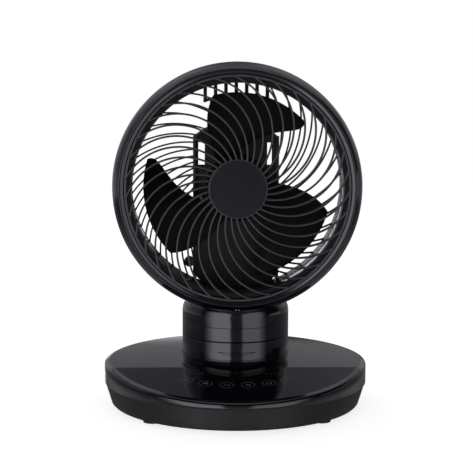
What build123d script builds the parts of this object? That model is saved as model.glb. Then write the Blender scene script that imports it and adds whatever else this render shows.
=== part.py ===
from build123d import *
import os
from math import acos, atan2, cos, pi, radians, sin, sqrt, tan

# Air circulator fan. Millimetres, +Z up, front towards -Y. The origin is on the ground
# under the middle of the base, on the axis that the column turns about.

# Used all over
RUNNING_FIT = 0.06         # radial clearance of a turning fit
SCREW_RADIUS = 1.5
SCREW_HEAD = (3.0, 2.0)    # radius, height
SCREW_HEAD_GAP = 0.3
SINK = 0.5                 # how far a boss or a post runs into the wall that carries it
CUT = 400.0                # longer than anything that it cuts through

# Base
BASE_RADIUS = 125.0
BASE_TOP = 42.7            # flat rear part of the cover
BASE_SEAM = 22.8           # where the cover meets the tray
BASE_WALL = 2.6
BASE_ROOF = 3.0
COVER_BEVEL = (1.8, 4.5)   # down the wall, in across the top
PANEL_CREASE = 44.3        # the sloping touch panel starts this far in front of the axis
PANEL_FRONT = 29.5         # height that it has come down to where the bevel starts
SEAM_STEP = 0.6            # the tray's rim is set in from the cover
TRAY_TAPER = 5.9           # and its foot is set in from its rim
TRAY_EDGE = 1.6            # bevel round the bottom
TRAY_FLOOR = 2.5
TRAY_FIT = 0.2             # between the tray's inner face and the cover's
COVER_BOSS = 5.0
TRAY_BOSS = 6.0
BOSS_SCREW_REACH = 6.0     # how far the tray screws run up into the cover's bosses
FOOT_HEIGHT = 2.0
FOOT_RADIUS = 9.0
FOOT_RECESS = 1.5
FOOT_MARGIN = 0.4          # between a foot's recess and the bevel round the bottom
BALLAST_BACK = 38.0        # the plate lies in front of this line
BALLAST_DEPTH = 56.0
BALLAST_THICKNESS = 5.0
INSIDE_GAP = 3.0           # between what lies in the base and its walls and bosses

# Boards, inlet and indicators
BOARD = 1.6
MAIN_BOARD = (36.0, 54.0)
BOARD_POST = 6.0
BOARD_POST_INSET = 5.0
BOARD_LIFT = 4.0
JACK = (9.0, 14.0, 11.0)
JACK_SETBACK = 0.9         # the jack's mouth lies this far inside the tray's wall
JACK_OVERHANG = 5.2        # and this far beyond the board's edge
JACK_BORE_RADIUS = 3.0
JACK_BORE_DEPTH = 9.5
JACK_PIN_RADIUS = 1.0
JACK_PIN_SET = 1.0         # its tip behind the mouth
CONTROL_BOARD_DEPTH = 44.0
PANEL_GAP = 2.4            # between the panel's underside and the control board
ICON_COUNT = 6
ICON_STEP = 12.9           # degrees about the column's axis
ICON_REACH = 35.2          # from the column's wall
TOUCH_PAD = (11.0, 7.0)
LIGHT_GUIDE = (96.0, 5.0)
LIGHT_REACH = 8.4

# Column
COLUMN_RADIUS = 50.75
COLUMN_WALL = 3.25
COLLAR_WALL = 8.0
COLLAR_HEIGHT = 5.7        # above the cover
TURN_GAP = 0.8             # open line between the fixed collar and the turning skirt
SKIRT_HEIGHT = 17.5
BAND_GAP = 0.6
BAND_HEIGHT = 12.8
CRADLE_GAP = 0.2
CRADLE_HEIGHT = 24.7
CRADLE_ROOF = 9.0
SHOULDER_RADIUS = 15.0
SADDLE_GAP = 3.0           # between the head's rim and the hollow that it turns in
TURNTABLE_PLATE = 4.0
HUB_RADIUS = 20.0
HUB_BORE = 14.0
YOKE_FRONT = 16.0
SLIDE_PAD = (6.0, 10.0)
SLIDE_PADS = 4
IR_WINDOW_WIDTH = 33.0
IR_WINDOW_SAG = 2.6
IR_WINDOW_THIN = 0.3       # how far the upper edge sags
IR_WINDOW_LIFT = 8.4       # its ends above the skirt's lower edge

# Gears and geared motors
PRESSURE_ANGLE = 20.0
GEAR_BACKLASH = 0.3
TOOTH_ROOT = 1.15          # modules below and above the pitch circle
TOOTH_TIP = 0.85
PAN_MODULE = 1.6
PAN_GEAR_TEETH = 36
PAN_PINION_TEETH = 12
PAN_GEAR_WIDTH = 5.0
PAN_GEAR_CLEARANCE = 2.0   # under the cover's roof
PAN_GEAR_SCREWS = 3
PAN_GEAR_SCREW = 8.0
TILT_MODULE = 1.0
TILT_GEAR_TEETH = 24
TILT_PINION_TEETH = 12
TILT_GEAR_WIDTH = 6.0
TILT_GEAR_SIDE = 8.0       # the gear's inner face from the middle plane
PINION_SHAFT_RADIUS = 2.0
PINION_SHAFT_IN = 6.0      # how far its shaft runs into the motor
PAN_MOTOR_RADIUS = 17.5
PAN_MOTOR_HEIGHT = 16.0
PAN_MOTOR_EAR = (54.0, 10.0, 2.0)
PAN_EAR_SPACING = 44.0
PAN_EAR_BOSS = 4.0
PAN_EAR_SCREW = 5.0        # how far its screw runs into the boss
TILT_MOTOR_RADIUS = 12.8
TILT_MOTOR_LENGTH = 17.0
TILT_SADDLE = (15.0, 16.0) # block that the tilt motor lies in
TILT_SADDLE_SHARE = 0.8    # of the motor's radius that it wraps
MOTOR_FACE_GAP = 2.5       # between a geared motor's face and its pinion
SHAFT_HOLE_SPARE = 2.0     # a shaft's hole is this much deeper than the shaft

# Tilt pivot and the spine that carries the head
PIVOT_DROP = 20.0          # the pivot's axis below the column's top
TILT_RANGE = 60.0          # degrees, head level to head up
LUG_RADIUS = 18.0
LUG_WIDTH = 56.0
SLOT_CLEARANCE = 0.6
AXLE_RADIUS = 5.0
AXLE_COVER = 0.6           # what is left of the cheek beyond each axle's end
AXLE_END_GAP = 1.0         # between the left axle's end and the inside of its bush
GEAR_END_GAP = 2.0         # how far the right axle passes the gear
BUSH_WALL = 2.5
BUSH_LENGTH = 5.5
SPINE_WIDTH = 80.0
SPINE_ARCH_RADIUS = 59.5
SPINE_NECK_RISE = 27.0     # the neck's top above the pivot
SPINE_NECK_FLARE = 12.0    # height over which it widens
SPINE_WALL = 2.5
SPINE_TOP_DEPTH = 16.0
SPINE_SLOPE_START = 28.0
VENT = (6.2, 23.0)
VENT_SIDE = 32.6
VENT_RISE = 27.0
POST_SIZE = 7.0
POST_SIDE = 33.8
POST_RISES = (2.0, -64.0)
POST_HEAD_DEPTH = 4.0      # the screw heads' seat below the spine's back
POST_SCREW_REACH = 4.0     # how far the screws pass the parting plane

# Head
HEAD_RADIUS = 113.0
RIM_DROP = 7.4             # how far the rim hangs below the column's top
BEZEL_BACK = 44.0          # distances forward of the head's datum plane (y = 0)
BEZEL_SHOULDER = 57.0
BEZEL_FRONT = 73.6
BEZEL_BROW = 6.8           # set in from the rim: the rounded part's front,
BEZEL_FACE = 10.9          # and the edge round the guard
BEZEL_STEP = (8.5, 0.4)    # a fine step in the face: in from the rim, down
BEZEL_FACE_FALL = 0.6
BEZEL_WALL = 2.6
BEZEL_LIP = 5.0
BEZEL_LIP_BACK = 2.0
SHELL_BACK = 4.0
SHELL_TAPER = 6.8          # how far the shell's back is set in from its rim
SHELL_EDGE = (4.7, 10.0)   # bevel round the back: in, forward
SHELL_WALL = 2.4
SHELL_EDGE_INSIDE = (1.5, 1.0)  # the same bevel's inner corners, further in and forward
GRILLE_FRONT = 75.0
GRILLE_GAP = 0.8           # open line between the bezel and the guard's ring
GRILLE_RING = 2.2
DUCT_SHELF = 5.1           # how far the duct's flange shows inside the guard's ring
DUCT_WALL = 2.0
DUCT_FLANGE = 2.4
RIB_DEPTH = 4.5
RIB_WIDTH = 1.7
FRONT_RIBS = 35
RIB_START = -0.5           # degrees, where the rib leaves the cap
RIB_SWING = (20.4, 51.8)   # degrees swept at half radius and at the ring
RIB_SINK = 0.6             # a rib's root under the cap, or its end in a ring
CAP_RADIUS = 25.4
CAP_PROUD = 2.6
CAP_EDGE = 0.8
CAP_MARGIN = 1.0
REAR_RIBS = 38
REAR_RIB_WIDTH = 1.5
REAR_RIB_ROOT = 37.5
REAR_RIB_START = 2.0
REAR_RIB_SWING = (28.9, 48.8)
REAR_RING = (0.5, 6.0)     # outside the duct's bore: inner edge, outer edge
BAR_COUNT = 9
BAR_PITCH = 9.72
BAR_WIDTH = 3.4
RAIL_OUTSET = 0.6          # how far the rails stand outside the spine
ARCH_BAR = 3.0
REAR_BOSS = (44.0, -74.5, 4.9)
LOCK_WIDTH = 40.0
LOCK_DEPTH = 10.0
LOCK_PROUD = 2.4

# Fan motor and rotor
MOTOR_RADIUS = 29.0
MOTOR_FRONT = 18.0
MOTOR_BACK = -14.0
MOTOR_HOLE_GAP = 0.3
MOTOR_LUG = (74.0, 12.0, 3.0)
MOTOR_LUG_RISE = -14.0
MOTOR_SCREW_SIDE = 33.0
SHAFT_RADIUS = 3.0
SHAFT_TAIL = 3.0           # behind the motor
SHAFT_REACH = 6.0          # in front of the rotor's hub
BLADES = 3
BLADE_TIP_GAP = 8.2        # inside the duct
BLADE_THICKNESS = 2.0
BLADE_BACK = 24.0          # where the pitched surface starts,
BLADE_HEIGHT = 27.0        # and how far forward it climbs
BLADE_CAMBER = 4.0
BLADE_ANGLES = (20.0, 130.0)   # between these angles
BLADE_SPARE = (5.0, 10.0)  # the uncut surface runs past the outline: millimetres, degrees
BLADE_ROWS = 4
BLADE_STEPS = 6
# the blade's edges: (share of the way from hub to tip, degrees)
LEADING_EDGE = ((0.0, 90), (0.26, 70), (0.6, 51.5), (0.86, 42.5), (1.0, 43.5))
TRAILING_EDGE = ((1.0, 105), (0.72, 113), (0.31, 122), (0.0, 130))
ROTOR_RADIUS = 30.3
ROTOR_BACK = 21.0
ROTOR_FRONT = 56.0
ROTOR_WALL = 2.2
ROTOR_BOSS = 8.0
ROTOR_BOSS_BACK = 2.0      # the boss starts this far inside the hub's rim
NUT_RADIUS = 7.0
NUT_LENGTH = 7.0

# What follows from the sizes above
BASE_ROOF_UNDER = BASE_TOP - BASE_ROOF
PANEL_SLOPE = atan2(BASE_TOP - PANEL_FRONT, BASE_RADIUS - COVER_BEVEL[1] - PANEL_CREASE)
COVER_INSIDE = BASE_RADIUS - BASE_WALL
TRAY_RIM = BASE_RADIUS - SEAM_STEP
TRAY_FOOT = TRAY_RIM - TRAY_TAPER
TRAY_INSIDE = FOOT_HEIGHT + TRAY_FLOOR
FOOT_SIDE = (TRAY_FOOT - TRAY_EDGE - FOOT_MARGIN - FOOT_RADIUS) / sqrt(2)
TRAY_SCREW_SEAT = FOOT_HEIGHT + FOOT_RECESS + SCREW_HEAD[1]
BOARD_TOP = TRAY_INSIDE + BOARD_LIFT + BOARD

COLLAR_TOP = BASE_TOP + COLLAR_HEIGHT
SKIRT_BOTTOM = COLLAR_TOP + TURN_GAP
SKIRT_TOP = SKIRT_BOTTOM + SKIRT_HEIGHT
BAND_BOTTOM = SKIRT_TOP + BAND_GAP
BAND_TOP = BAND_BOTTOM + BAND_HEIGHT
CRADLE_BOTTOM = BAND_TOP + CRADLE_GAP
COLUMN_TOP = CRADLE_BOTTOM + CRADLE_HEIGHT
PLATE_TOP = SKIRT_BOTTOM + TURNTABLE_PLATE
FRAME_RADIUS = COLUMN_RADIUS - COLUMN_WALL
ICON_RADIUS = COLUMN_RADIUS + ICON_REACH
LIGHT_FORWARD = COLUMN_RADIUS + LIGHT_REACH

PAN_GEAR_TOP = BASE_ROOF_UNDER - PAN_GEAR_CLEARANCE
PAN_GEAR_BOTTOM = PAN_GEAR_TOP - PAN_GEAR_WIDTH
PAN_MOTOR_BACK = PAN_MODULE * (PAN_GEAR_TEETH + PAN_PINION_TEETH) / 2
PAN_MOTOR_TOP = PAN_GEAR_BOTTOM - MOTOR_FACE_GAP

AXIS_HEIGHT = COLUMN_TOP - RIM_DROP + HEAD_RADIUS
PIVOT_HEIGHT = COLUMN_TOP - PIVOT_DROP
PIVOT_RISE = PIVOT_HEIGHT - AXIS_HEIGHT        # in the head's frame
PIVOT_BACK = LUG_RADIUS
SPINE_DEPTH = 2 * LUG_RADIUS
SLOT_HALF = LUG_WIDTH / 2 + SLOT_CLEARANCE
TILT_MOTOR_RISE = TILT_MODULE * (TILT_GEAR_TEETH + TILT_PINION_TEETH) / 2

BEZEL_INNER = HEAD_RADIUS - BEZEL_FACE
BEZEL_INSIDE = HEAD_RADIUS - BEZEL_WALL
RING_OUTER = BEZEL_INNER - GRILLE_GAP
RING_INNER = RING_OUTER - GRILLE_RING
DUCT_RADIUS = RING_INNER - DUCT_SHELF
DUCT_FLANGE_FRONT = GRILLE_FRONT - RIB_DEPTH
BLADE_TIP = DUCT_RADIUS - BLADE_TIP_GAP
SHAFT_FRONT = ROTOR_FRONT + SHAFT_REACH

# The head is drawn facing +Z with its middle on the origin, then stood up facing -Y.
HEAD = Plane(origin=(0, 0, AXIS_HEIGHT), x_dir=(1, 0, 0), z_dir=(0, -1, 0))
HEAD_SIDE = Plane(origin=(0, 0, 0), x_dir=(0, 0, 1), z_dir=(-1, 0, 0))   # (forward, up)


def save(name, shape):
    """Writes one sub-part."""
    shape.label = name
    export_step(shape, os.path.join("parts", name + ".step"))


def outline(*points):
    return make_face(Polyline(*points, close=True))


def turned(*points):
    """A solid turned about Z from its (radius, height) outline."""
    return revolve(Plane.XZ * outline(*points), Axis.Z)


def disc(radius, bottom, top):
    return Pos(0, 0, bottom) * extrude(Circle(radius), top - bottom)


def tube(outer, inner, bottom, top):
    return Pos(0, 0, bottom) * extrude(Circle(outer) - Circle(inner), top - bottom)


def block(x_size, y_size, bottom, top):
    return Pos(0, 0, bottom) * extrude(Rectangle(x_size, y_size), top - bottom)


def group(shapes):
    """Separate solids in one node."""
    return Compound(children=list(shapes))


def polar(radius, angle):
    return (radius * cos(radians(angle)), radius * sin(radians(angle)))


def screw(length):
    """A screw that points up, with the underside of its head on the origin."""
    head_radius, head_height = SCREW_HEAD
    return turned((0, -head_height), (head_radius, -head_height), (head_radius, 0),
                  (SCREW_RADIUS, 0), (SCREW_RADIUS, length), (0, length))


def screw_hole(length):
    """Room for that screw, with a counterbore open to below."""
    head_radius, head_height = SCREW_HEAD
    counterbore = disc(head_radius + SCREW_HEAD_GAP, -head_height - CUT, 0)
    return disc(SCREW_RADIUS, 0, length) + counterbore


# ---- gears -------------------------------------------------------------------------------

def tooth_half_angle(teeth, module, radius):
    """Half the angle of an involute tooth at a radius."""
    pitch = teeth * module / 2
    base = pitch * cos(radians(PRESSURE_ANGLE))
    slant = acos(min(1.0, base / radius))
    pitch_slant = radians(PRESSURE_ANGLE)
    swing = (tan(pitch_slant) - pitch_slant) - (tan(slant) - slant)
    return pi / (2 * teeth) + swing - GEAR_BACKLASH / (4 * pitch)


def spur_gear(teeth, module, width, bore, tooth_at):
    """A spur gear from z = 0 up, with a tooth centred on the angle tooth_at (degrees)."""
    pitch = teeth * module / 2
    root = pitch - TOOTH_ROOT * module
    tip = pitch + TOOTH_TIP * module
    points = []
    for tooth in range(teeth):
        middle = radians(tooth_at) + 2 * pi * tooth / teeth
        for radius, side in ((root, -1), (tip, -1), (tip, 1), (root, 1)):
            angle = middle + side * tooth_half_angle(teeth, module, radius)
            points.append((radius * cos(angle), radius * sin(angle)))
    face = outline(*points)
    if bore:
        face -= Circle(bore)
    return extrude(face, width)


def make_pinion(teeth, module, width):
    """A pinion from z = 0 up, on a shaft that reaches down across the gap into its motor."""
    gear = spur_gear(teeth, module, width, 0, -90 + 180 / teeth)
    return gear + disc(PINION_SHAFT_RADIUS, -MOTOR_FACE_GAP - PINION_SHAFT_IN, 0)


# ---- base --------------------------------------------------------------------------------

def panel_height(forward, crease_height):
    """Height of a surface that falls away in front of the crease as the panel does."""
    return crease_height - max(0.0, forward - PANEL_CREASE) * tan(PANEL_SLOPE)


def cover_form(radius, top):
    """The cover's outer form: level at the back, sloping down in front of the crease."""
    reach = BASE_RADIUS * 1.5
    above = outline((-PANEL_CREASE, top), (-reach, panel_height(reach, top)),
                    (-reach, top + reach), (reach, top + reach), (reach, top))
    return disc(radius, BASE_SEAM, top) - extrude(Plane.YZ * above, CUT / 2, both=True)


def under_panel():
    """The sloping panel's underside, with X across and Y up the slope from the crease."""
    return Plane(origin=(0, -PANEL_CREASE, BASE_ROOF_UNDER), x_dir=(1, 0, 0),
                 z_dir=(0, -sin(PANEL_SLOPE), cos(PANEL_SLOPE))).location


def up_slope(forward):
    """Where a point this far in front of the axis lies on the slope."""
    return -(forward - PANEL_CREASE) / cos(PANEL_SLOPE)


def foot_places():
    return [Pos(x, y, 0) for x in (-FOOT_SIDE, FOOT_SIDE) for y in (-FOOT_SIDE, FOOT_SIDE)]


def make_base_cover():
    cover = cover_form(BASE_RADIUS, BASE_TOP)
    wall = cover.faces().filter_by(GeomType.CYLINDER)[0]
    rim = [edge for edge in wall.edges() if (edge @ 0.5).Z > BASE_SEAM + SINK
           and edge.length > BASE_RADIUS / 2]
    cover = chamfer(rim, COVER_BEVEL[0], COVER_BEVEL[1], reference=wall)
    cover -= cover_form(COVER_INSIDE, BASE_ROOF_UNDER)
    inside = cover_form(COVER_INSIDE, BASE_ROOF_UNDER + SINK)
    for place in foot_places():
        cover += place * disc(COVER_BOSS, BASE_SEAM, BASE_TOP) & inside
    for side in (-1, 1):
        cover += Pos(side * PAN_EAR_SPACING / 2, PAN_MOTOR_BACK) * disc(
            PAN_EAR_BOSS, PAN_MOTOR_TOP, BASE_ROOF_UNDER + SINK)
        cover -= pan_screw_place(side) * disc(SCREW_RADIUS, 0, PAN_MOTOR_EAR[2] + PAN_EAR_SCREW)
    cover -= disc(HUB_RADIUS + RUNNING_FIT, BASE_SEAM, BASE_TOP)
    for place in foot_places():
        cover -= place * disc(SCREW_RADIUS, BASE_SEAM, BASE_SEAM + BOSS_SCREW_REACH)
    return cover


def make_base_tray():
    inner_rim = COVER_INSIDE - TRAY_FIT - BASE_WALL
    tray = turned((0, FOOT_HEIGHT), (TRAY_FOOT - TRAY_EDGE, FOOT_HEIGHT),
                  (TRAY_FOOT, FOOT_HEIGHT + TRAY_EDGE), (TRAY_RIM, BASE_SEAM),
                  (inner_rim, BASE_SEAM), (TRAY_FOOT - BASE_WALL, TRAY_INSIDE), (0, TRAY_INSIDE))
    for place in foot_places():
        tray += place * disc(TRAY_BOSS, TRAY_INSIDE, BASE_SEAM)
    for place in board_posts():
        tray += place * block(BOARD_POST, BOARD_POST, TRAY_INSIDE, TRAY_INSIDE + BOARD_LIFT)
    for place in foot_places():
        tray -= place * disc(FOOT_RADIUS, 0, FOOT_HEIGHT + FOOT_RECESS)
        tray -= place * Pos(0, 0, TRAY_SCREW_SEAT) * screw_hole(CUT)
    jack_x, jack_y, jack_z = JACK
    return tray - Pos(0, jack_mouth(), BOARD_TOP + jack_z / 2) * Box(jack_x, 2 * jack_y, jack_z)


def room_in_base(height):
    """What is free inside the base for a flat thing: the round floor without the bosses."""
    room = disc(TRAY_FOOT - BASE_WALL - INSIDE_GAP, 0, height)
    for place in foot_places():
        room -= place * disc(TRAY_BOSS + INSIDE_GAP, -SINK, height + SINK)
    return room


def make_ballast_plate():
    plate = Pos(0, -BALLAST_BACK - BALLAST_DEPTH / 2) * block(
        2 * BASE_RADIUS, BALLAST_DEPTH, 0, BALLAST_THICKNESS)
    return Pos(0, 0, TRAY_INSIDE) * (plate & room_in_base(BALLAST_THICKNESS))


def board_middle():
    return jack_mouth() - JACK_OVERHANG - MAIN_BOARD[1] / 2


def board_posts():
    across = MAIN_BOARD[0] / 2 - BOARD_POST_INSET
    deep = MAIN_BOARD[1] / 2 - BOARD_POST_INSET
    return [Pos(x, board_middle() + y, 0) for x in (-across, across)
            for y in (-deep, deep - 2 * BOARD_POST_INSET)]


def make_main_board():
    return Pos(0, board_middle()) * block(*MAIN_BOARD, BOARD_TOP - BOARD, BOARD_TOP)


def jack_mouth():
    """How far back the jack's mouth lies, just inside the sloping wall."""
    edge_top = FOOT_HEIGHT + TRAY_EDGE
    share = (BOARD_TOP - edge_top) / (BASE_SEAM - edge_top)
    return TRAY_FOOT + share * TRAY_TAPER - JACK_SETBACK


def make_dc_jack():
    across, deep, tall = JACK
    mouth = Plane(origin=(0, jack_mouth(), BOARD_TOP + tall / 2), x_dir=(1, 0, 0),
                  z_dir=(0, -1, 0)).location
    body = extrude(Rectangle(across, tall), deep) - disc(JACK_BORE_RADIUS, 0, JACK_BORE_DEPTH)
    return mouth * (body + disc(JACK_PIN_RADIUS, JACK_PIN_SET, JACK_BORE_DEPTH + SINK))


def make_base_collar():
    ring = tube(COLUMN_RADIUS, COLUMN_RADIUS - COLLAR_WALL, BASE_SEAM, COLLAR_TOP)
    return ring - cover_form(BASE_RADIUS, BASE_TOP)


def icon_places():
    """The touch icons stand on an arc about the column, seen from above as (x, forward)."""
    turns = [(k - (ICON_COUNT - 1) / 2) * ICON_STEP for k in range(ICON_COUNT)]
    return [(ICON_RADIUS * sin(radians(turn)), ICON_RADIUS * cos(radians(turn)), turn)
            for turn in turns]


def make_control_board():
    width = 2 * (FOOT_SIDE - COVER_BOSS - INSIDE_GAP)
    forward = (LIGHT_FORWARD + ICON_RADIUS) / 2
    room = Pos(0, up_slope(0)) * extrude(Circle(COVER_INSIDE - INSIDE_GAP), BOARD)
    board = Pos(0, up_slope(forward)) * block(width, CONTROL_BOARD_DEPTH, 0, BOARD)
    return under_panel() * Pos(0, 0, -PANEL_GAP - BOARD) * (board & room)


def make_touch_pads():
    return group(
        under_panel() * Pos(x, up_slope(forward), -PANEL_GAP) * Rot(0, 0, turn)
        * extrude(Rectangle(*TOUCH_PAD), PANEL_GAP) for x, forward, turn in icon_places())


def make_light_guide():
    return under_panel() * Pos(0, up_slope(LIGHT_FORWARD), -PANEL_GAP) * extrude(
        Rectangle(*LIGHT_GUIDE), PANEL_GAP)


def pan_screw_place(side):
    return Pos(side * PAN_EAR_SPACING / 2, PAN_MOTOR_BACK, PAN_MOTOR_TOP - PAN_MOTOR_EAR[2])


def make_pan_motor():
    ear_x, ear_y, ear_z = PAN_MOTOR_EAR
    shaft_hole = PINION_SHAFT_IN + SHAFT_HOLE_SPARE
    motor = disc(PAN_MOTOR_RADIUS, PAN_MOTOR_TOP - PAN_MOTOR_HEIGHT, PAN_MOTOR_TOP)
    motor += block(ear_x, ear_y, PAN_MOTOR_TOP - ear_z, PAN_MOTOR_TOP)
    motor -= disc(PINION_SHAFT_RADIUS + RUNNING_FIT, PAN_MOTOR_TOP - shaft_hole, PAN_MOTOR_TOP)
    motor = Pos(0, PAN_MOTOR_BACK, 0) * motor
    for side in (-1, 1):
        motor -= pan_screw_place(side) * disc(SCREW_RADIUS, 0, ear_z)
    return motor


# ---- column ------------------------------------------------------------------------------

def slot_low_back(gap):
    """Where the lug's back leaves its round end when the head is tilted right up."""
    tilt = radians(TILT_RANGE)
    radius = LUG_RADIUS + gap
    return (PIVOT_BACK + radius * cos(tilt), PIVOT_HEIGHT - radius * sin(tilt))


def slot_form(gap):
    """The room that the head's lug sweeps as it tilts up."""
    radius = LUG_RADIUS + gap
    tilt = radians(TILT_RANGE)
    low_back = slot_low_back(gap)
    reach = 2 * COLUMN_RADIUS
    far_back = (low_back[0] + reach * sin(tilt), low_back[1] + reach * cos(tilt))
    front = PIVOT_BACK - radius
    swept = outline((front, PIVOT_HEIGHT), (PIVOT_BACK, PIVOT_HEIGHT), low_back, far_back,
                    (far_back[0], CUT), (front, CUT))
    swept += Pos(PIVOT_BACK, PIVOT_HEIGHT) * Circle(radius)
    return extrude(Plane.YZ * swept, SLOT_HALF, both=True)


def back_opening(bottom):
    """The opening in the column's back wall, as wide as the lug's slot."""
    return Pos(0, PIVOT_BACK + CUT / 2, bottom + CUT / 2) * Box(2 * SLOT_HALF, CUT, CUT)


def axle(side):
    """Held in its cheek; the right one reaches in past the gear, the left one ends in its bush."""
    inner = TILT_GEAR_SIDE - GEAR_END_GAP
    if side < 0:
        inner = SLOT_HALF - BUSH_LENGTH - AXLE_END_GAP
    outer = sqrt(FRAME_RADIUS ** 2 - (PIVOT_BACK + AXLE_RADIUS) ** 2) - AXLE_COVER
    start = Plane(origin=(side * inner, PIVOT_BACK, PIVOT_HEIGHT), z_dir=(side, 0, 0))
    return start.location * extrude(Circle(AXLE_RADIUS), outer - inner)


def make_column_frame():
    """Turntable plate with its hub, whose bore opens into the slot of the yoke above it."""
    plate = disc(FRAME_RADIUS, SKIRT_BOTTOM, PLATE_TOP)
    hub = disc(HUB_RADIUS, PAN_GEAR_BOTTOM, SKIRT_BOTTOM)
    yoke = disc(FRAME_RADIUS, SKIRT_BOTTOM, COLUMN_TOP - CRADLE_ROOF)
    yoke -= Pos(0, -YOKE_FRONT - CUT / 2, 0) * Box(CUT, CUT, CUT)
    frame = plate + hub + yoke - slot_form(SLOT_CLEARANCE)
    frame -= disc(HUB_BORE, PAN_GEAR_BOTTOM, PIVOT_HEIGHT - LUG_RADIUS / 2)
    frame -= axle(-1) + axle(1)
    for place in pan_gear_screw_places():
        frame -= place * disc(SCREW_RADIUS, 0, PAN_GEAR_SCREW)
    return frame


def pan_gear_screw_places():
    """In the hub's end, with their heads under the pan gear's bore."""
    middle = (HUB_RADIUS + HUB_BORE) / 2
    return [Pos(*polar(middle, 30 + 360 * k / PAN_GEAR_SCREWS), PAN_GEAR_BOTTOM)
            for k in range(PAN_GEAR_SCREWS)]


def make_pan_gear():
    return Pos(0, 0, PAN_GEAR_BOTTOM) * spur_gear(
        PAN_GEAR_TEETH, PAN_MODULE, PAN_GEAR_WIDTH, HUB_RADIUS, 90)


def make_slide_pads():
    pad = Pos(COLUMN_RADIUS - COLLAR_WALL / 2, 0, 0) * block(*SLIDE_PAD, COLLAR_TOP, SKIRT_BOTTOM)
    return group(Rot(0, 0, 360 * (k + 0.5) / SLIDE_PADS) * pad for k in range(SLIDE_PADS))


def window_form():
    """The smile-shaped window's outline carried through the skirt's front wall."""
    half, height = IR_WINDOW_WIDTH / 2, SKIRT_BOTTOM + IR_WINDOW_LIFT
    lower = ThreePointArc((-half, height), (0, height - IR_WINDOW_SAG), (half, height))
    upper = ThreePointArc((half, height), (0, height - IR_WINDOW_THIN), (-half, height))
    return Plane.XZ.location * extrude(make_face(lower + upper), COLUMN_RADIUS + SINK)


def make_column_skirt():
    return tube(COLUMN_RADIUS, FRAME_RADIUS, SKIRT_BOTTOM, SKIRT_TOP)


def make_column_band():
    """The middle ring, notched at the back where the lug's back swings down."""
    inside = sqrt(FRAME_RADIUS ** 2 - SLOT_HALF ** 2)
    back, height = slot_low_back(SLOT_CLEARANCE)
    notch = height + (inside - back) / tan(radians(TILT_RANGE))
    return tube(COLUMN_RADIUS, FRAME_RADIUS, BAND_BOTTOM, BAND_TOP) - back_opening(notch)


def make_column_cradle():
    cradle = disc(COLUMN_RADIUS, CRADLE_BOTTOM, COLUMN_TOP)
    cradle = fillet(cradle.edges().sort_by(Axis.Z)[-1], SHOULDER_RADIUS)
    cradle -= disc(FRAME_RADIUS, CRADLE_BOTTOM, COLUMN_TOP - CRADLE_ROOF)
    cradle -= slot_form(SLOT_CLEARANCE)
    cradle -= back_opening(CRADLE_BOTTOM - SINK)
    return cradle - HEAD.location * disc(HEAD_RADIUS + SADDLE_GAP, -CUT, CUT)


# ---- head --------------------------------------------------------------------------------

def make_bezel_ring():
    """Rounded rim, stepped face and an edge that falls back round the guard."""
    brow = (HEAD_RADIUS - BEZEL_BROW, BEZEL_FRONT)
    shoulder = (HEAD_RADIUS, BEZEL_SHOULDER)
    lip_back = BEZEL_FRONT - BEZEL_LIP
    step_radius, step_down = HEAD_RADIUS - BEZEL_STEP[0], BEZEL_STEP[1]
    edge = TangentArc(shoulder, brow, tangent=(0, 1)) + Polyline(
        brow, (step_radius, BEZEL_FRONT), (step_radius, BEZEL_FRONT - step_down),
        (BEZEL_INNER, BEZEL_FRONT - BEZEL_FACE_FALL), (BEZEL_INNER, lip_back),
        (BEZEL_INSIDE, BEZEL_SHOULDER - BEZEL_LIP_BACK), (BEZEL_INSIDE, BEZEL_BACK),
        (HEAD_RADIUS, BEZEL_BACK), shoulder)
    return revolve(Plane.XZ * make_face(edge), Axis.Z)


def make_grille_lock():
    """A shallow lens-shaped tab under the bezel."""
    half = LOCK_WIDTH / 2
    rise = -sqrt(HEAD_RADIUS ** 2 - half ** 2)
    bow = ThreePointArc((-half, rise), (0, -HEAD_RADIUS - LOCK_PROUD), (half, rise))
    lens = make_face(bow + Line((half, rise), (-half, rise))) - Circle(HEAD_RADIUS)
    return Pos(0, 0, BEZEL_SHOULDER - LOCK_DEPTH) * extrude(lens, LOCK_DEPTH)


def make_head_shell():
    heel = HEAD_RADIUS - SHELL_TAPER
    edge_in, edge_forward = SHELL_EDGE
    inside_in, inside_forward = SHELL_EDGE_INSIDE
    return turned(
        (HEAD_RADIUS, BEZEL_BACK), (heel, SHELL_BACK + edge_forward), (heel - edge_in, SHELL_BACK),
        (DUCT_RADIUS, SHELL_BACK), (DUCT_RADIUS, SHELL_BACK + SHELL_WALL),
        (heel - edge_in - inside_in, SHELL_BACK + SHELL_WALL),
        (heel - SHELL_WALL, SHELL_BACK + edge_forward + inside_forward),
        (BEZEL_INSIDE, BEZEL_BACK))


def make_air_duct():
    """A straight barrel on the shell's back, with a flange that carries the guard."""
    outer, back = DUCT_RADIUS + DUCT_WALL, SHELL_BACK + SHELL_WALL
    flange_back = DUCT_FLANGE_FRONT - DUCT_FLANGE
    return turned((DUCT_RADIUS, back), (outer, back), (outer, flange_back),
                  (RING_OUTER, flange_back), (RING_OUTER, DUCT_FLANGE_FRONT),
                  (DUCT_RADIUS, DUCT_FLANGE_FRONT))


def rib(root, end, start, swing, width):
    """One spiral rib's outline: an arc that swings anticlockwise as it runs outwards."""
    arc = ThreePointArc(polar(root, start), polar((root + end) / 2, start + swing[0]),
                        polar(end, start + swing[1]))
    return trace(arc, width)


def rib_fan(one, count):
    return Sketch() + [Rot(0, 0, 360 * k / count) * one for k in range(count)]


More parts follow.
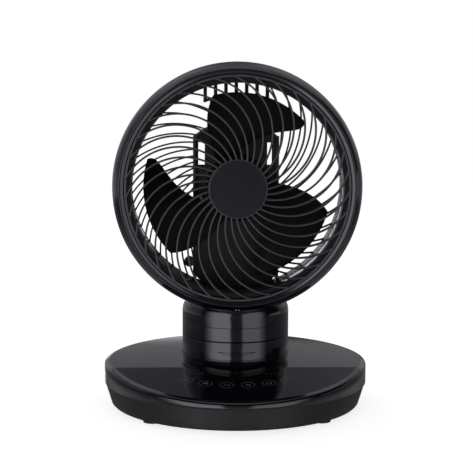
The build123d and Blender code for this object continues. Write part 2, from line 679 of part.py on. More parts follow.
def make_front_grille():
    """Flat guard: an outer ring, swept ribs and the disc that the cap covers."""
    end = (RING_INNER + RING_OUTER) / 2
    one = rib(CAP_RADIUS - RIB_SINK, end, RIB_START, RIB_SWING, RIB_WIDTH)
    ribs = rib_fan(one, FRONT_RIBS)
    face = ribs + Circle(CAP_RADIUS + CAP_MARGIN) + (Circle(RING_OUTER) - Circle(RING_INNER))
    return Pos(0, 0, GRILLE_FRONT - RIB_DEPTH) * extrude(face, RIB_DEPTH)


def make_grille_cap():
    top = GRILLE_FRONT + CAP_PROUD
    return turned((0, GRILLE_FRONT), (CAP_RADIUS, GRILLE_FRONT), (CAP_RADIUS, top - CAP_EDGE),
                  (CAP_RADIUS - CAP_EDGE, top), (0, top))


def rail_side():
    return SPINE_WIDTH / 2 - BAR_WIDTH / 2 + RAIL_OUTSET


def guard_bay(opening):
    """The straight-barred bay over the spine: rails, an arched bar and bars above it."""
    rail = rail_side()
    bars = Sketch() + [Pos((k - (BAR_COUNT - 1) / 2) * BAR_PITCH, opening / 2)
                       * Rectangle(BAR_WIDTH, opening) for k in range(BAR_COUNT)]
    bars -= Circle(SPINE_ARCH_RADIUS - ARCH_BAR / 2)
    arch = Circle(SPINE_ARCH_RADIUS) - Circle(SPINE_ARCH_RADIUS - ARCH_BAR)
    arch &= Pos(0, opening) * Rectangle(2 * rail, 2 * opening)
    rails = Sketch() + [Pos(side * rail, 0) * Rectangle(BAR_WIDTH, 2 * opening)
                        for side in (-1, 1)]
    return bars + arch + rails


def make_rear_grille():
    """Rear guard: spiral ribs each side of a straight-barred bay over the motor's spine."""
    opening = DUCT_RADIUS + REAR_RING[0]
    one = rib(REAR_RIB_ROOT, opening + RIB_SINK, REAR_RIB_START, REAR_RIB_SWING,
              REAR_RIB_WIDTH)
    ribs = rib_fan(one, REAR_RIBS) - Rectangle(2 * rail_side(), CUT)
    face = (ribs + guard_bay(opening)) & Circle(opening + RIB_SINK)
    face += Circle(DUCT_RADIUS + REAR_RING[1]) - Circle(opening)
    boss_x, boss_y, boss_radius = REAR_BOSS
    for side in (-1, 1):
        face += Pos(side * boss_x, boss_y) * Circle(boss_radius)
    return extrude(face, SHELL_BACK)


def spine_block(inset):
    """The spine's outer form, drawn in by a wall: arched top, narrow neck, round lug."""
    half, neck = SPINE_WIDTH / 2 - inset, LUG_WIDTH / 2 - inset
    arch = SPINE_ARCH_RADIUS - inset
    spring = sqrt(arch ** 2 - half ** 2)
    neck_top = PIVOT_RISE + SPINE_NECK_RISE
    flare_top = neck_top + SPINE_NECK_FLARE
    low = PIVOT_RISE - LUG_RADIUS
    crown = ThreePointArc((half, spring), (0, arch), (-half, spring))
    sides = Polyline((-half, spring), (-half, flare_top), (-neck, neck_top), (-neck, low),
                     (neck, low), (neck, neck_top), (half, flare_top), (half, spring))
    front = Pos(0, 0, -SPINE_DEPTH) * extrude(make_face(crown + sides), SPINE_DEPTH)
    side = outline((-inset, PIVOT_RISE), (-inset, SPINE_ARCH_RADIUS),
                   (inset - SPINE_TOP_DEPTH, SPINE_ARCH_RADIUS),
                   (inset - SPINE_DEPTH, SPINE_SLOPE_START), (inset - SPINE_DEPTH, PIVOT_RISE))
    side += Pos(-PIVOT_BACK, PIVOT_RISE) * Circle(LUG_RADIUS - inset)
    return front & extrude(HEAD_SIDE * side, CUT / 2, both=True)


def post_places():
    """Where the spine's two halves are screwed together, from behind."""
    return [Pos(side * POST_SIDE, rise, POST_HEAD_DEPTH - SPINE_DEPTH)
            for side in (-1, 1) for rise in POST_RISES]


def post_screw_length():
    return SPINE_DEPTH - POST_HEAD_DEPTH - PIVOT_BACK + POST_SCREW_REACH


def bush_place(side):
    inner = LUG_WIDTH / 2 - BUSH_LENGTH
    return Plane(origin=(side * inner, PIVOT_RISE, -PIVOT_BACK), z_dir=(side, 0, 0)).location


def spine_hollow():
    """The room inside the spine, less its screw posts and the tilt motor's saddle."""
    hollow = spine_block(SPINE_WALL)
    for place in post_places():
        x, y, _ = place.position
        hollow -= Pos(x, y) * block(POST_SIZE, POST_SIZE, -SPINE_DEPTH, 0)
    wrap = PIVOT_BACK - TILT_MOTOR_RADIUS * TILT_SADDLE_SHARE
    middle = TILT_GEAR_SIDE - MOTOR_FACE_GAP - TILT_MOTOR_LENGTH / 2
    return hollow - Pos(middle, PIVOT_RISE + TILT_MOTOR_RISE) * block(*TILT_SADDLE, -wrap, 0)


def make_spine():
    """The hollow spine in two halves that part on the plane of the axles."""
    shell = spine_block(0) - spine_hollow()
    shell -= disc(MOTOR_RADIUS + MOTOR_HOLE_GAP, -SPINE_WALL, 0)
    boss_x, boss_y, boss_radius = REAR_BOSS
    for side in (-1, 1):
        shell -= Pos(side * VENT_SIDE, VENT_RISE) * block(*VENT, -CUT, CUT)
        shell -= bush_place(side) * extrude(Circle(AXLE_RADIUS + BUSH_WALL), BUSH_LENGTH)
        shell -= motor_screw_place(side) * disc(SCREW_RADIUS, 0, CUT)
        shell += Pos(side * boss_x, boss_y) * disc(boss_radius, -SPINE_WALL, 0)
    for place in post_places():
        shell -= place * screw_hole(post_screw_length())
    shell -= tilt_motor_form()
    behind = Pos(0, 0, -PIVOT_BACK - CUT / 2) * Box(CUT, CUT, CUT)
    return shell - behind, shell & behind


def tilt_drive_place():
    """Axis of the tilt motor and its pinion, pointing right from the gear's inner face."""
    return Plane(origin=(TILT_GEAR_SIDE, PIVOT_RISE + TILT_MOTOR_RISE, -PIVOT_BACK),
                 x_dir=(0, 0, -1), z_dir=(1, 0, 0)).location


def tilt_motor_form():
    return tilt_drive_place() * disc(
        TILT_MOTOR_RADIUS, -MOTOR_FACE_GAP - TILT_MOTOR_LENGTH, -MOTOR_FACE_GAP)


def make_tilt_motor():
    depth = MOTOR_FACE_GAP + PINION_SHAFT_IN + SHAFT_HOLE_SPARE
    return tilt_motor_form() - tilt_drive_place() * disc(PINION_SHAFT_RADIUS + RUNNING_FIT, -depth, 0)


def make_tilt_gear():
    place = Plane(origin=(TILT_GEAR_SIDE, PIVOT_BACK, PIVOT_HEIGHT), x_dir=(0, 1, 0),
                  z_dir=(1, 0, 0)).location
    return place * spur_gear(TILT_GEAR_TEETH, TILT_MODULE, TILT_GEAR_WIDTH, AXLE_RADIUS, 90)


def make_tilt_bushes():
    bush = extrude(Circle(AXLE_RADIUS + BUSH_WALL) - Circle(AXLE_RADIUS + RUNNING_FIT), BUSH_LENGTH)
    return group(bush_place(side) * bush for side in (-1, 1))


def motor_screw_place(side):
    return Pos(side * MOTOR_SCREW_SIDE, MOTOR_LUG_RISE, -SPINE_WALL - MOTOR_LUG[2])


def make_motor_can():
    lug_x, lug_y, lug_z = MOTOR_LUG
    can = disc(MOTOR_RADIUS, MOTOR_BACK, MOTOR_FRONT)
    can += Pos(0, MOTOR_LUG_RISE) * block(lug_x, lug_y, -SPINE_WALL - lug_z, -SPINE_WALL)
    can -= disc(SHAFT_RADIUS + RUNNING_FIT, MOTOR_BACK, MOTOR_FRONT)
    for side in (-1, 1):
        can -= motor_screw_place(side) * disc(SCREW_RADIUS, 0, lug_z)
    return can


# ---- rotor -------------------------------------------------------------------------------

def blade_point(share, angle):
    return polar(ROTOR_RADIUS + share * (BLADE_TIP - ROTOR_RADIUS), angle)


def blade_height(angle):
    """How far forward the blade lies: it climbs anticlockwise, with a little camber."""
    start, end = BLADE_ANGLES
    share = (angle - start) / (end - start)
    return BLADE_BACK + BLADE_HEIGHT * share + BLADE_CAMBER * sin(pi * share)


def blade_plan():
    """The blade's outline from the front, with its root sunk into the hub's wall."""
    root = ROTOR_RADIUS - ROTOR_WALL / 2
    leading = [polar(root, LEADING_EDGE[0][1])] + [blade_point(*p) for p in LEADING_EDGE[1:]]
    trailing = [blade_point(*p) for p in TRAILING_EDGE[:-1]] + [polar(root, TRAILING_EDGE[-1][1])]
    middle = (LEADING_EDGE[-1][1] + TRAILING_EDGE[0][1]) / 2
    tip = ThreePointArc(leading[-1], blade_point(1.0, middle), trailing[0])
    return make_face(Spline(*leading) + tip + Spline(*trailing) + Line(trailing[-1], leading[0]))


def make_fan_blade():
    """Hub and swept blades: each blade is a pitched sheet cut to its outline."""
    inner, outer = ROTOR_RADIUS - BLADE_SPARE[0], BLADE_TIP + BLADE_SPARE[0]
    radii = [inner + (outer - inner) * k / (BLADE_ROWS - 1) for k in range(BLADE_ROWS)]
    start, end = BLADE_ANGLES[0], BLADE_ANGLES[1] + BLADE_SPARE[1]
    angles = [start + (end - start) * k / BLADE_STEPS for k in range(BLADE_STEPS + 1)]
    grid = [[Vector(*polar(r, a), blade_height(a)) for a in angles] for r in radii]
    sheet = Solid.thicken(Face.make_surface_from_array_of_points(grid), BLADE_THICKNESS)
    blade = sheet & extrude(blade_plan(), CUT)
    rotor = disc(ROTOR_RADIUS, ROTOR_BACK, ROTOR_FRONT)
    rotor -= disc(ROTOR_RADIUS - ROTOR_WALL, ROTOR_BACK, ROTOR_FRONT - ROTOR_WALL)
    rotor += disc(ROTOR_BOSS, ROTOR_BACK + ROTOR_BOSS_BACK, ROTOR_FRONT)
    rotor -= disc(SHAFT_RADIUS, ROTOR_BACK, ROTOR_FRONT)
    for k in range(BLADES):
        rotor += Rot(0, 0, 360 * k / BLADES) * blade
    return rotor


def make_blade_nut():
    nut = disc(NUT_RADIUS, ROTOR_FRONT, ROTOR_FRONT + NUT_LENGTH)
    return nut - disc(SHAFT_RADIUS, ROTOR_FRONT, SHAFT_FRONT)


# ---- the nodes ---------------------------------------------------------------------------

def base_nodes():
    tray_screw = screw(BASE_SEAM + BOSS_SCREW_REACH - TRAY_SCREW_SEAT)
    ear_screw = screw(PAN_MOTOR_EAR[2] + PAN_EAR_SCREW)
    foot = disc(FOOT_RADIUS, 0, FOOT_HEIGHT + FOOT_RECESS)
    return {
        "base_tray": make_base_tray(),
        "base_cover": make_base_cover(),
        "base_collar": make_base_collar(),
        "feet": group(place * foot for place in foot_places()),
        "tray_screws": group(place * Pos(0, 0, TRAY_SCREW_SEAT) * tray_screw
                             for place in foot_places()),
        "ballast_plate": make_ballast_plate(),
        "main_board": make_main_board(),
        "dc_jack": make_dc_jack(),
        "control_board": make_control_board(),
        "touch_pads": make_touch_pads(),
        "light_guide": make_light_guide(),
        "pan_motor": make_pan_motor(),
        "pan_motor_screws": group(pan_screw_place(side) * ear_screw for side in (-1, 1)),
        "pan_pinion": Pos(0, PAN_MOTOR_BACK, PAN_GEAR_BOTTOM) * make_pinion(
            PAN_PINION_TEETH, PAN_MODULE, PAN_GEAR_WIDTH),
    }


def column_nodes():
    window = window_form()
    skirt = make_column_skirt()
    return {
        "column_frame": make_column_frame(),
        "slide_pads": make_slide_pads(),
        "pan_gear": make_pan_gear(),
        "pan_gear_screws": group(place * screw(PAN_GEAR_SCREW)
                                 for place in pan_gear_screw_places()),
        "column_skirt": skirt - window,
        "ir_window": skirt & window,
        "column_band": make_column_band(),
        "column_cradle": make_column_cradle(),
        "pivot_axle_left": axle(-1),
        "pivot_axle_right": axle(1),
        "tilt_gear": make_tilt_gear(),
    }


def head_nodes():
    spine_front, spine_cover = make_spine()
    motor_screw = screw(MOTOR_LUG[2] + SPINE_WALL)
    return {
        "tilt_pinion": tilt_drive_place() * make_pinion(
            TILT_PINION_TEETH, TILT_MODULE, TILT_GEAR_WIDTH),
        "bezel_ring": make_bezel_ring(),
        "grille_lock": make_grille_lock(),
        "front_grille": make_front_grille(),
        "grille_cap": make_grille_cap(),
        "head_shell": make_head_shell(),
        "air_duct": make_air_duct(),
        "rear_grille": make_rear_grille(),
        "spine_front": spine_front,
        "spine_cover": spine_cover,
        "spine_screws": group(place * screw(post_screw_length()) for place in post_places()),
        "motor_can": make_motor_can(),
        "motor_screws": group(motor_screw_place(side) * motor_screw for side in (-1, 1)),
        "tilt_motor": make_tilt_motor(),
        "tilt_bushes": make_tilt_bushes(),
        "fan_blade": make_fan_blade(),
        "rotor_shaft": disc(SHAFT_RADIUS, MOTOR_BACK - SHAFT_TAIL, SHAFT_FRONT),
        "blade_nut": make_blade_nut(),
    }


def main():
    os.makedirs("parts", exist_ok=True)
    for name, shape in {**base_nodes(), **column_nodes()}.items():
        save(name, shape)
    for name, shape in head_nodes().items():
        save(name, HEAD.location * shape)


main()
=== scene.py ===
import cmath
import itertools
import math

import bmesh
import bpy
from mathutils import Matrix, Vector


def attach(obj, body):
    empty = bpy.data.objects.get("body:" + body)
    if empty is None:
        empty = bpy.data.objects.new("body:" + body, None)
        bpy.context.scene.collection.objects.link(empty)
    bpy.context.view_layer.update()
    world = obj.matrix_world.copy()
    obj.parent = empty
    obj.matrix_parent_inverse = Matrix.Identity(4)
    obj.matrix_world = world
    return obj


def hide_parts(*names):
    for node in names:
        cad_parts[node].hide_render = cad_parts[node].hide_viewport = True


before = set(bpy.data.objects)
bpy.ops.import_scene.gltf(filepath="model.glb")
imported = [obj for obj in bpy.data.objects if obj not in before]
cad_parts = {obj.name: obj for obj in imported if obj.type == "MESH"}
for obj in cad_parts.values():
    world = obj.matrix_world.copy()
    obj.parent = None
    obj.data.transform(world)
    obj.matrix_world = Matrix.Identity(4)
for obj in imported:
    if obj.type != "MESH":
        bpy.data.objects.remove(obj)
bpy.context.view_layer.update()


# ---- base tray -------------------------------------------------------------------------------
# The lower half of the base: a satin black ABS tray, injection moulded in a spark-eroded mould.
# It keeps its CAD shape, and its edges get the small radius that every moulding has.

MM = 0.001


def linear(code):
    """A six-figure sRGB colour as the linear values that Blender's sockets take."""
    parts = [int(code[i:i + 2], 16) / 255 for i in (0, 2, 4)]
    return [c / 12.92 if c <= 0.04045 else ((c + 0.055) / 1.055) ** 2.4 for c in parts] + [1.0]


def node(tree, kind, inputs=None, **settings):
    """Adds a node. Its inputs are given by name or number, as a value or as another's output."""
    made = tree.nodes.new(kind)
    for key, value in settings.items():
        setattr(made, key, value)
    for socket, value in (inputs or {}).items():
        if isinstance(value, bpy.types.NodeSocket):
            tree.links.new(value, made.inputs[socket])
        else:
            made.inputs[socket].default_value = value
    return made


def finish(name, colour, worn, rough, grain, relief, patch=30.0, spread=0.15, metal=0.0,
           ior=1.5, stretch=(1.0, 1.0, 1.0), shine=0.5, cast="ffffff"):
    """A surface with a fine texture and slow patches. `grain` and `patch` are sizes in
    millimetres, `relief` is the texture's height in millimetres, `worn` is the colour that the
    patches drift to, `spread` is the share by which the roughness drifts, `shine` is how strongly
    the surface mirrors and `cast` is the tint of what it mirrors."""
    made = bpy.data.materials.new(name)
    made.use_nodes = True
    tree = made.node_tree
    shader = tree.nodes["Principled BSDF"]
    place = node(tree, "ShaderNodeTexCoord").outputs["Object"]
    along = node(tree, "ShaderNodeMapping", {"Vector": place, "Scale": stretch}).outputs[0]
    fine = node(tree, "ShaderNodeTexNoise", {"Vector": along, "Scale": 1 / (grain * MM),
                                             "Detail": 3.0, "Roughness": 0.6})
    slow = node(tree, "ShaderNodeTexNoise", {"Vector": place, "Scale": 1 / (patch * MM),
                                             "Detail": 4.0, "Roughness": 0.65})
    both = node(tree, "ShaderNodeMath", {0: fine.outputs[0], 1: slow.outputs[0]},
                operation="MULTIPLY")
    drift = node(tree, "ShaderNodeMapRange", {
        "Value": slow.outputs[0], "From Min": 0.3, "From Max": 0.7,
        "To Min": rough * (1 - spread), "To Max": rough * (1 + spread)})
    share = node(tree, "ShaderNodeMapRange", {"Value": both.outputs[0],
                                              "From Min": 0.1, "From Max": 0.45})
    tint = node(tree, "ShaderNodeMix", {"Factor": share.outputs[0], 6: linear(colour),
                                        7: linear(worn)}, data_type="RGBA")
    bump = node(tree, "ShaderNodeBump", {"Height": fine.outputs[0], "Distance": relief * MM})
    for socket, value in (("Base Color", tint.outputs[2]), ("Roughness", drift.outputs[0]),
                          ("Normal", bump.outputs[0])):
        tree.links.new(value, shader.inputs[socket])
    shader.inputs["Metallic"].default_value = metal
    shader.inputs["IOR"].default_value = ior
    shader.inputs["Specular IOR Level"].default_value = shine
    shader.inputs["Specular Tint"].default_value = linear(cast)
    return made


def dress(surface, *names, edge=0.25):
    """Gives CAD nodes their finish, smooth shading and the small radius of a real edge."""
    for name in names:
        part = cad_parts[name]
        for holder in part.material_slots:
            holder.material = surface
        part.data.polygons.foreach_set("use_smooth", [True] * len(part.data.polygons))
        part.modifiers.new("weld", "WELD").merge_threshold = 1e-6
        rounding = part.modifiers.new("edge", "BEVEL")
        rounding.width = edge * MM
        rounding.segments = 2
        rounding.angle_limit = math.radians(35)
        part.modifiers.new("shading", "WEIGHTED_NORMAL")


# Spark-eroded ABS: a fine even grain that spreads every reflection into a soft grey sheen.
# The real grain is about 0.05 mm; it is drawn at 0.5 mm, the finest that shows in the picture.
satin_abs = finish("satin_spark_eroded_ABS", "2a2a29", "313130", 0.45, 0.5, 0.006, shine=0.16)
dress(satin_abs, "base_tray", edge=0.3)


# ---- feet, screws and axles ------------------------------------------------------------------
# Four moulded rubber pads pressed into the tray, the self-tapping screws that close the fan's
# shells, and the turned axles and shaft that it moves on. All but the pads are plated steel.

# Moulded rubber: dull, with the chalky bloom that such pads get.
rubber = finish("moulded_rubber", "141414", "1f1f1f", 0.85, 0.8, 0.03, patch=6.0)
dress(rubber, "feet", edge=0.5)

# Zinc-plated steel: bright, slightly uneven plating with fine drawing marks.
zinc_steel = finish("zinc_plated_steel", "b9bcc0", "9da1a6", 0.32, 0.6, 0.004, patch=5.0,
                    spread=0.3, metal=1.0)
dress(zinc_steel, "tray_screws", "pan_motor_screws", "pan_gear_screws", "spine_screws",
      "motor_screws", edge=0.12)
dress(zinc_steel, "pivot_axle_left", "pivot_axle_right", "rotor_shaft", edge=0.2)


# ---- inside of the base ----------------------------------------------------------------------
# A ballast plate, two circuit boards, the inlet and the touch pads with their light guide, all
# screwed or laid in before the cover closes over them.

# Rolled steel plate, zinc plated: larger cloudy patches of plating than on the screws.
zinc_plate = finish("zinc_plated_sheet_steel", "a9acb0", "8b8f95", 0.38, 1.2, 0.006, patch=22.0,
                    spread=0.3, metal=1.0, stretch=(0.2, 1.0, 1.0))
dress(zinc_plate, "ballast_plate", edge=0.3)

# Green solder mask over copper: a thin gloss lacquer with the tracks' slight unevenness.
solder_mask = finish("green_solder_mask", "0d3a20", "145030", 0.3, 1.6, 0.02, patch=12.0)
dress(solder_mask, "main_board", "control_board", edge=0.15)

# Glass-filled polyamide: plain matte black with a cloudy, fibre-speckled skin.
filled_nylon = finish("glass_filled_polyamide", "101011", "1b1b1c", 0.55, 0.9, 0.012,
                      patch=10.0)
dress(filled_nylon, "dc_jack", edge=0.2)

# Carbon-loaded foam: dark grey, matte and visibly open-celled.
foam = finish("conductive_foam", "2c2c2e", "3a3a3d", 0.95, 1.0, 0.25, patch=4.0)
dress(foam, "touch_pads", edge=0.3)

# Frosted acrylic: pale and milky, so that the diodes' light spreads along the row.
frosted_acrylic = finish("frosted_acrylic", "c9c9cc", "d6d6d9", 0.45, 0.4, 0.01, patch=8.0)
dress(frosted_acrylic, "light_guide", edge=0.2)


# ---- drives ----------------------------------------------------------------------------------
# What turns the column, the head and the blades: three motors, two pairs of moulded gears, and
# the frame, slides and bushes that they work in.

# Enamelled motor can: dark grey paint with a slight orange peel over drawn steel.
motor_enamel = finish("enamelled_steel", "37383b", "424347", 0.35, 1.5, 0.015, patch=18.0)
dress(motor_enamel, "pan_motor", "tilt_motor", "motor_can", edge=0.4)

# Natural acetal: warm white and waxy, with faint flow marks.
acetal = finish("natural_acetal", "dedbd2", "d0ccc0", 0.38, 1.2, 0.006, patch=9.0, ior=1.48)
dress(acetal, "pan_pinion", "pan_gear", "slide_pads", "tilt_gear", "tilt_pinion", edge=0.15)

# Sintered bronze: brown-gold, dull from the open pores that hold its oil.
bronze = finish("oil_filled_sintered_bronze", "8a6b3e", "6f5431", 0.5, 0.35, 0.02, patch=4.0,
                metal=1.0)
dress(bronze, "tilt_bushes", edge=0.2)

dress(filled_nylon, "column_frame", edge=0.2)


# ---- base cover ------------------------------------------------------------------------------
# The upper half of the base, moulded in piano-black ABS: level at the back, with the touch
# panel sloping down in front of a straight crease, and a narrow bevel all round the edge.

COVER_RADIUS = 125.0
COVER_TOP = 42.7
COVER_SEAM = 22.8
COVER_WALL = 2.4
COVER_BEVEL = (4.5, 1.8)      # in from the wall, down from the top
COVER_ROUNDING = 2.2          # of the corner between the bevel and the wall
COVER_STEPS = 288
PANEL_CREASE = 44.3           # this far in front of the column's axis
PANEL_FALL = 13.2             # from the crease to the panel's front edge


def soften(shape, width, turn=30, segments=2):
    """Rounds every edge of a mesh that turns by more than this many degrees."""
    sharp = [edge for edge in shape.edges if edge.calc_face_angle(0) > math.radians(turn)]
    bmesh.ops.bevel(shape, geom=sharp, offset=width * MM, segments=segments, profile=0.5,
                    affect="EDGES", clamp_overlap=True, material=-1)


def piece(name, shape, surface, place=Matrix(), smooth=35):
    """Makes an object of a finished mesh, put in its place in the frame."""
    bmesh.ops.transform(shape, matrix=place, verts=shape.verts)
    mesh = bpy.data.meshes.new(name)
    shape.to_mesh(mesh)
    shape.free()
    mesh.polygons.foreach_set("use_smooth", [True] * len(mesh.polygons))
    mesh.set_sharp_from_angle(angle=math.radians(smooth))
    mesh.materials.append(surface)
    made = bpy.data.objects.new(name, mesh)
    bpy.context.collection.objects.link(made)
    return made


# Piano-black ABS: polished mould, so nearly a mirror, with the faint ripple of a moulded face
# 3 mm from crest to crest and a film of dust that dulls it in patches.
piano_black = finish("piano_black_ABS", "08080c", "0e0e13", 0.09, 3.0, 0.0012, patch=35.0,
                     spread=0.3, ior=1.52, cast="f8f8ff")

panel_slope = math.atan2(PANEL_FALL, COVER_RADIUS - COVER_BEVEL[0] - PANEL_CREASE)
cover_form = bmesh.new()
bmesh.ops.create_circle(cover_form, cap_ends=True, segments=COVER_STEPS,
                        radius=(COVER_RADIUS - COVER_BEVEL[0]) * MM)
bmesh.ops.translate(cover_form, vec=(0, 0, COVER_TOP * MM), verts=cover_form.verts)
bmesh.ops.bisect_plane(cover_form, geom=cover_form.verts[:] + cover_form.edges[:]
                       + cover_form.faces[:], plane_co=(0, -PANEL_CREASE * MM, 0),
                       plane_no=(0, 1, 0))
for vert in cover_form.verts:
    vert.co.z -= max(0.0, -PANEL_CREASE * MM - vert.co.y) * math.tan(panel_slope)
rim = [edge for edge in cover_form.edges if edge.is_boundary]
for reach, fall in ((COVER_RADIUS, COVER_BEVEL[1]), (COVER_RADIUS, None)):
    made = bmesh.ops.extrude_edge_only(cover_form, edges=rim)["geom"]
    for vert in (item for item in made if isinstance(item, bmesh.types.BMVert)):
        vert.co.xy *= reach * MM / vert.co.xy.length
        vert.co.z = COVER_SEAM * MM if fall is None else vert.co.z - fall * MM
    rim = [item for item in made if isinstance(item, bmesh.types.BMEdge)]
bmesh.ops.recalc_face_normals(cover_form, faces=cover_form.faces)
shoulder = [edge for edge in cover_form.edges if edge.calc_face_angle(0) > math.radians(40)]
bmesh.ops.bevel(cover_form, geom=shoulder, offset=COVER_ROUNDING * MM, segments=6, profile=0.5,
                affect="EDGES", clamp_overlap=True, material=-1)
soften(cover_form, 0.35, turn=8)
cover = piece("base_cover_shell", cover_form, piano_black)
wall = cover.modifiers.new("wall", "SOLIDIFY")
wall.thickness = COVER_WALL * MM
wall.offset = -1
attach(cover, "base")
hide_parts("base_cover")


# ---- touch marks -----------------------------------------------------------------------------
# Six round touch marks and a row of small lamp windows, screen-printed in grey on the panel.
# They stand on an arc about the column, each turned to face it; the signs are generic ones.

MARK_RADIUS = 85.95           # of the arc that the marks stand on
MARK_STEP = 12.9              # degrees about the column
MARK_RING = (6.1, 0.3)        # radius and width of the ring round each mark
INK = 0.04                    # thickness of the printed film
LAMP_ROW = 59.15              # in front of the column's axis
LAMPS = (-43.5, -39.5, -35.5, -31.5, 0.0, 27.5, 31.5, 35.5, 39.5, 43.5)
LAMP_SIZE = (1.7, 0.6)
MIDDLE_LAMP_SIZE = (1.0, 1.0)


def arc_mark(shape, radius, width, start, sweep, centre=(0.0, 0.0)):
    """A flat curved stroke, in millimetres and degrees."""
    centre = Vector((*centre, 0)) * MM
    heading = Vector((math.cos(math.radians(start)), math.sin(math.radians(start)), 0))
    ends = [shape.verts.new(centre + heading * (radius + side * width / 2) * MM)
            for side in (-1, 1)]
    bmesh.ops.spin(shape, geom=ends + [shape.edges.new(ends)], cent=centre, axis=(0, 0, 1),
                   angle=math.radians(sweep), steps=max(4, round(sweep / 10)),
                   use_merge=sweep == 360)


def bar_mark(shape, length, width, turn=0.0, centre=(0.0, 0.0)):
    """A flat straight stroke, in millimetres and degrees."""
    place = (Matrix.Translation(Vector((*centre, 0)) * MM)
             @ Matrix.Rotation(math.radians(turn), 4, "Z")
             @ Matrix.Diagonal((length * MM, width * MM, 1, 1)))
    bmesh.ops.create_grid(shape, x_segments=1, y_segments=1, size=0.5, matrix=place)


def add_part(shape, part):
    """Joins a finished mesh to another."""
    carrier = bpy.data.meshes.new("carrier")
    part.to_mesh(carrier)
    part.free()
    shape.from_mesh(carrier)
    bpy.data.meshes.remove(carrier)


def timer_sign(shape):
    arc_mark(shape, 2.4, 0.4, 0, 360)
    bar_mark(shape, 1.7, 0.4, 90, (0, 0.8))
    bar_mark(shape, 1.2, 0.4, 0, (0.6, 0))


def blades_sign(shape):
    for turn in (90, 210, 330):
        way = cmath.rect(1.7, math.radians(turn))
        arc_mark(shape, 0.6, 1.1, turn - 90, 300, (way.real, way.imag))
    arc_mark(shape, 0.3, 0.6, 0, 360)


def swing_sign(shape):
    arc_mark(shape, 3.6, 0.5, 45, 90, (0, -3.0))
    for side in (-1, 1):
        bar_mark(shape, 1.7, 0.45, 90 - side * 8, (side * 2.5, 0.2))
        bar_mark(shape, 1.6, 0.45, -side * 5, (side * 1.9, -0.5))


def breeze_sign(shape):
    for rise in (-1.5, 0.0, 1.5):
        arc_mark(shape, 1.3, 0.42, 30, 120, (-1.1, rise - 0.7))
        arc_mark(shape, 1.3, 0.42, 210, 120, (1.1, rise + 0.6))


def power_sign(shape):
    arc_mark(shape, 2.3, 0.45, 120, 300)
    bar_mark(shape, 2.4, 0.45, 90, (0, 1.7))


def night_sign(shape):
    arc_mark(shape, 2.3, 0.45, 60, 240)
    arc_mark(shape, 2.0, 0.45, 85, 190, (1.2, 0.2))


# Screen-printed ink: dull grey, thinner in places, so the marks stay faint on the gloss.
ink = finish("grey_screen_ink", "5a5a5d", "7a7a7d", 0.55, 0.6, 0.004, patch=7.0)
panel_face = (Matrix.Translation((0, -PANEL_CREASE * MM, COVER_TOP * MM))
              @ Matrix.Rotation(panel_slope, 4, "X"))
signs = (timer_sign, blades_sign, swing_sign, breeze_sign, power_sign, night_sign)
marks = bmesh.new()
for k, sign in enumerate(signs):
    turn = math.radians((k - (len(signs) - 1) / 2) * MARK_STEP)
    one = bmesh.new()
    arc_mark(one, *MARK_RING, 0, 360)
    sign(one)
    up = -(MARK_RADIUS * math.cos(turn) - PANEL_CREASE) / math.cos(panel_slope)
    bmesh.ops.transform(one, verts=one.verts, matrix=Matrix.Translation(
        (MARK_RADIUS * MM * math.sin(turn), up * MM, 0)) @ Matrix.Rotation(turn, 4, "Z"))
    add_part(marks, one)
row = -(LAMP_ROW - PANEL_CREASE) / math.cos(panel_slope)
for x in LAMPS:
    bar_mark(marks, *(LAMP_SIZE if x else MIDDLE_LAMP_SIZE), 0, (x, row))
bmesh.ops.remove_doubles(marks, verts=marks.verts, dist=1e-6)
bmesh.ops.recalc_face_normals(marks, faces=marks.faces)
printed = piece("touch_marks", marks, ink, panel_face @ Matrix.Translation((0, 0, INK * MM)))
ink_film = printed.modifiers.new("film", "SOLIDIFY")
ink_film.thickness = INK * MM
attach(printed, "base")


# ---- collar ----------------------------------------------------------------------------------
# The fixed ring that the column turns on, moulded in the cover's piano black and clipped into
# it. It narrows to its foot, and a thin lip stands round the running gap to the skirt.

COLLAR_BORE = 42.9
COLLAR_FOOT = (50.1, 42.9)    # radius and height where it leaves the cover,
COLLAR_NECK = ((50.7, 47.2), (51.3, 47.6))    # where the lip starts,
COLLAR_LIP = (51.8, 50.2)     # and the lip's upper edge
LIP_WALL = 0.8
COLLAR_TOP = 48.4             # the skirt turns over this face


def turned(*profile, steps=192):
    """A ring turned from a closed outline of (radius, height) points in millimetres. An outline
    that starts and ends on the axis makes a disc."""
    shape = bmesh.new()
    verts = [shape.verts.new((radius * MM, 0, height * MM)) for radius, height in profile]
    pairs = list(zip(verts, verts[1:]))
    if profile[0][0] > 0:
        pairs.append((verts[-1], verts[0]))
    edges = [shape.edges.new(pair) for pair in pairs]
    bmesh.ops.spin(shape, geom=verts + edges, cent=(0, 0, 0), axis=(0, 0, 1),
                   angle=math.tau, steps=steps, use_merge=True)
    bmesh.ops.remove_doubles(shape, verts=shape.verts, dist=1e-6)
    bmesh.ops.recalc_face_normals(shape, faces=shape.faces)
    return shape


lip_inside = COLLAR_LIP[0] - LIP_WALL
collar_form = turned((COLLAR_BORE, COLLAR_FOOT[1]), COLLAR_FOOT, *COLLAR_NECK, COLLAR_LIP,
                     (lip_inside, COLLAR_LIP[1]), (lip_inside, COLLAR_TOP),
                     (COLLAR_BORE, COLLAR_TOP))
soften(collar_form, 0.15)
collar = piece("collar_ring", collar_form, piano_black)
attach(collar, "base")
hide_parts("base_collar")


# ---- column ----------------------------------------------------------------------------------
# Three piano-black rings stacked on the turning frame: skirt, band and the cradle with its
# rounded shoulder and the hollow that the head rests over. A smoked window sits in the skirt.

dress(piano_black, "column_skirt", "column_band", "column_cradle", edge=0.35)

